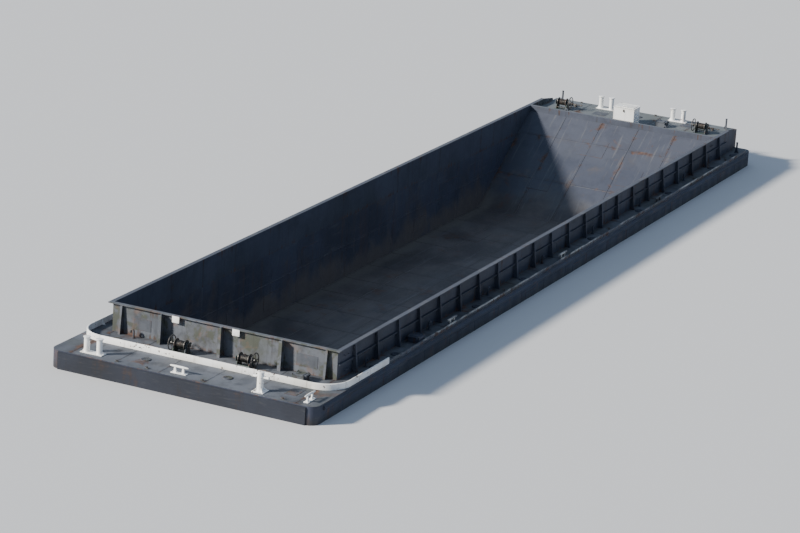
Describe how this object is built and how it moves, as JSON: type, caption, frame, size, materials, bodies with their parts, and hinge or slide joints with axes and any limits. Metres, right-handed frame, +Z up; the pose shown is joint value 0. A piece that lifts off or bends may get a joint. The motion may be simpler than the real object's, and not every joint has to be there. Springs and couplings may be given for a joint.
{
  "type": "half-size scale model of an open hopper river barge",
  "caption": "Flat-bottomed open hopper barge with a box stern, raked bow, plated coamings with stays, loading ramp, mooring bitts, kevels, hatches and lashing winches.",
  "frame": {"origin": "centre of the flat bottom, below the middle of the hull's length and beam", "axes": "+X towards the raked bow, +Y to port, +Z up"},
  "size_m": [30, 7.5, 3.3266],
  "materials": {
    "hull_paint": "weathered dark grey hull paint with rust",
    "bottom_paint": "scraped hold floor, brown with ore dust and rust",
    "deck_paint": "worn grey deck paint",
    "coaming_paint": "worn grey paint, rust at the welds",
    "edge_paint": "scuffed dark grey paint, bare on the edges",
    "white_paint": "white gloss paint, chipped",
    "machine_paint": "grey-green machinery paint",
    "bare_steel": "rubbed and greasy steel"
  },
  "bodies": {
    "hull": {"stern_tank": "hull_paint", "wing_tank_port": "hull_paint", "wing_tank_starboard": "hull_paint", "double_bottom": "bottom_paint", "bow_tank": "deck_paint", "headlog": "edge_paint", "transom_plate": "edge_paint", "rubbing_strake_port": "edge_paint", "rubbing_strake_starboard": "edge_paint", "coaming_port": "coaming_paint", "coaming_starboard": "coaming_paint", "coaming_aft": "coaming_paint", "coaming_fore": "coaming_paint", "stern_curb": "white_paint", "stern_curb_port": "white_paint", "stern_curb_starboard": "white_paint", "side_curb_port": "edge_paint", "side_curb_starboard": "edge_paint", "kevel_stern_middle": "white_paint", "kevel_stern_corner": "white_paint", "bitts_stern_port": "white_paint", "bitts_bow_port": "white_paint", "bitts_bow_starboard": "white_paint", "bitt_stern_starboard": "white_paint", "hatch_aft_peak": "deck_paint", "hatch_wing_port": "deck_paint", "hatch_wing_starboard": "deck_paint", "hatch_fore_peak": "deck_paint", "locker": "white_paint", "winch_stern_port_frame": "machine_paint", "winch_stern_starboard_frame": "machine_paint", "winch_bow_port_frame": "machine_paint", "winch_bow_starboard_frame": "machine_paint", "hold_ladder_port": "edge_paint", "hold_ladder_starboard": "edge_paint"},
    "aft_peak_lid": {"hatch_aft_peak_lid": "deck_paint"},
    "wing_port_lid": {"hatch_wing_port_lid": "deck_paint"},
    "wing_starboard_lid": {"hatch_wing_starboard_lid": "deck_paint"},
    "fore_peak_lid": {"hatch_fore_peak_lid": "deck_paint"},
    "locker_lid": {"locker_lid": "white_paint"},
    "stern_port_drum": {"winch_stern_port_drum": "bare_steel"},
    "stern_starboard_drum": {"winch_stern_starboard_drum": "bare_steel"},
    "bow_port_drum": {"winch_bow_port_drum": "bare_steel"},
    "bow_starboard_drum": {"winch_bow_starboard_drum": "bare_steel"}
  },
  "joints": [
    {"name": "aft_peak_hinge", "type": "hinge", "parent": "hull", "child": "aft_peak_lid", "pos_m": [-13.38, -2.65, 2.2566], "axis": [1, 0, 0], "range_deg": [0, 110]},
    {"name": "wing_port_hinge", "type": "hinge", "parent": "hull", "child": "wing_port_lid", "pos_m": [-9.2, 3.43, 2.2566], "axis": [0, -1, 0], "range_deg": [0, 110]},
    {"name": "wing_starboard_hinge", "type": "hinge", "parent": "hull", "child": "wing_starboard_lid", "pos_m": [-9.2, -3.43, 2.2566], "axis": [0, -1, 0], "range_deg": [0, 110]},
    {"name": "fore_peak_hinge", "type": "hinge", "parent": "hull", "child": "fore_peak_lid", "pos_m": [13.7, -1.25, 2.8566], "axis": [1, 0, 0], "range_deg": [0, 110]},
    {"name": "locker_hinge", "type": "hinge", "parent": "hull", "child": "locker_lid", "pos_m": [13.54, 0, 3.2666], "axis": [0, 1, 0], "range_deg": [0, 100]},
    {"name": "stern_port_spin", "type": "hinge", "parent": "hull", "child": "stern_port_drum", "pos_m": [-13.36, 0.9, 2.3303], "axis": [0, 1, 0], "continuous": true},
    {"name": "stern_starboard_spin", "type": "hinge", "parent": "hull", "child": "stern_starboard_drum", "pos_m": [-13.36, -0.9, 2.3303], "axis": [0, 1, 0], "continuous": true},
    {"name": "bow_port_spin", "type": "hinge", "parent": "hull", "child": "bow_port_drum", "pos_m": [13.7, 2.4, 2.9303], "axis": [0, 1, 0], "continuous": true},
    {"name": "bow_starboard_spin", "type": "hinge", "parent": "hull", "child": "bow_starboard_drum", "pos_m": [13.7, -2.4, 2.9303], "axis": [0, 1, 0], "continuous": true}
  ]
}
